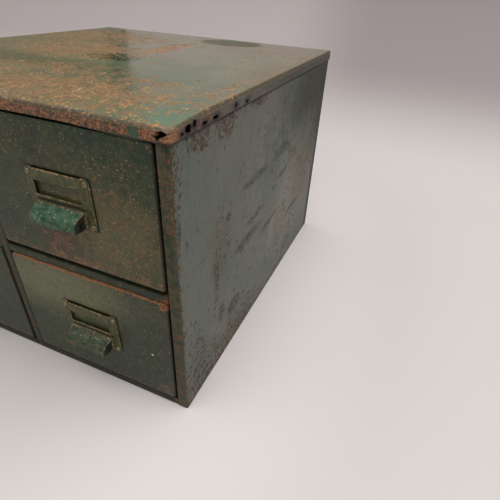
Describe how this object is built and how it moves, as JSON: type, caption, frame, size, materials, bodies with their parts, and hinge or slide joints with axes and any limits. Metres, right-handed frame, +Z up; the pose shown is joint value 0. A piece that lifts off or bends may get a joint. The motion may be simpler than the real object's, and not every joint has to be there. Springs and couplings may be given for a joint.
{
  "type": "parts organizer",
  "caption": "Free-standing sheet-steel drawer cabinet for small parts, with label holders above hooded finger pulls; each drawer slides out on its own.",
  "frame": {"origin": "centre of the object's bounding box at the level that it stands on; hoods included", "axes": "+Z up; the drawers open towards -Y; +X is the right-hand side seen from the front"},
  "size_m": [0.412, 0.462, 0.3],
  "materials": {
    "lid_paint": "worn semi-gloss grey-green paint on sheet steel, streaked with orange rust",
    "side_paint": "flat grey-green brushed overpaint on sheet steel, with fine rust",
    "frame_paint": "dark green paint with rusty edges",
    "inner_paint": "thin dull green paint with rust bloom",
    "drawer_paint": "dark green semi-gloss paint with rust specks and worn edges",
    "pull_paint": "olive paint worn to tan bare metal along its edges",
    "rivet_steel": "worn bare steel rivet"
  },
  "bodies": {
    "cabinet": {"back_panel": "side_paint", "bottom_panel": "side_paint", "bottom_rail_left": "frame_paint", "bottom_rail_right": "frame_paint", "centre_divider": "frame_paint", "lid": "lid_paint", "mid_rail_left": "frame_paint", "mid_rail_right": "frame_paint", "runner_lower_left_inner": "inner_paint", "runner_lower_left_outer": "inner_paint", "runner_lower_right_inner": "inner_paint", "runner_lower_right_outer": "inner_paint", "runner_upper_left_inner": "inner_paint", "runner_upper_left_outer": "inner_paint", "runner_upper_right_inner": "inner_paint", "runner_upper_right_outer": "inner_paint", "side_panel_left": "side_paint", "side_panel_right": "side_paint", "top_rail_left": "frame_paint", "top_rail_right": "frame_paint"},
    "drawer_lower_left": {"drawer_front_lower_left": "drawer_paint", "drawer_pull_lower_left": "pull_paint", "drawer_tray_lower_left": "inner_paint", "pull_rivet_lower_left_1": "rivet_steel", "pull_rivet_lower_left_2": "rivet_steel", "pull_rivet_lower_left_3": "rivet_steel", "pull_rivet_lower_left_4": "rivet_steel"},
    "drawer_lower_right": {"drawer_front_lower_right": "drawer_paint", "drawer_pull_lower_right": "pull_paint", "drawer_tray_lower_right": "inner_paint", "pull_rivet_lower_right_1": "rivet_steel", "pull_rivet_lower_right_2": "rivet_steel", "pull_rivet_lower_right_3": "rivet_steel", "pull_rivet_lower_right_4": "rivet_steel"},
    "drawer_upper_left": {"drawer_front_upper_left": "drawer_paint", "drawer_pull_upper_left": "pull_paint", "drawer_tray_upper_left": "inner_paint", "pull_rivet_upper_left_1": "rivet_steel", "pull_rivet_upper_left_2": "rivet_steel", "pull_rivet_upper_left_3": "rivet_steel", "pull_rivet_upper_left_4": "rivet_steel"},
    "drawer_upper_right": {"drawer_front_upper_right": "drawer_paint", "drawer_pull_upper_right": "pull_paint", "drawer_tray_upper_right": "inner_paint", "pull_rivet_upper_right_1": "rivet_steel", "pull_rivet_upper_right_2": "rivet_steel", "pull_rivet_upper_right_3": "rivet_steel", "pull_rivet_upper_right_4": "rivet_steel"}
  },
  "joints": [
    {"name": "drawer_lower_left_slide", "type": "slide", "parent": "cabinet", "child": "drawer_lower_left", "axis": [0, -1, 0], "range_m": [0, 0.36]},
    {"name": "drawer_lower_right_slide", "type": "slide", "parent": "cabinet", "child": "drawer_lower_right", "axis": [0, -1, 0], "range_m": [0, 0.36]},
    {"name": "drawer_upper_left_slide", "type": "slide", "parent": "cabinet", "child": "drawer_upper_left", "axis": [0, -1, 0], "range_m": [0, 0.36]},
    {"name": "drawer_upper_right_slide", "type": "slide", "parent": "cabinet", "child": "drawer_upper_right", "axis": [0, -1, 0], "range_m": [0, 0.36]}
  ]
}
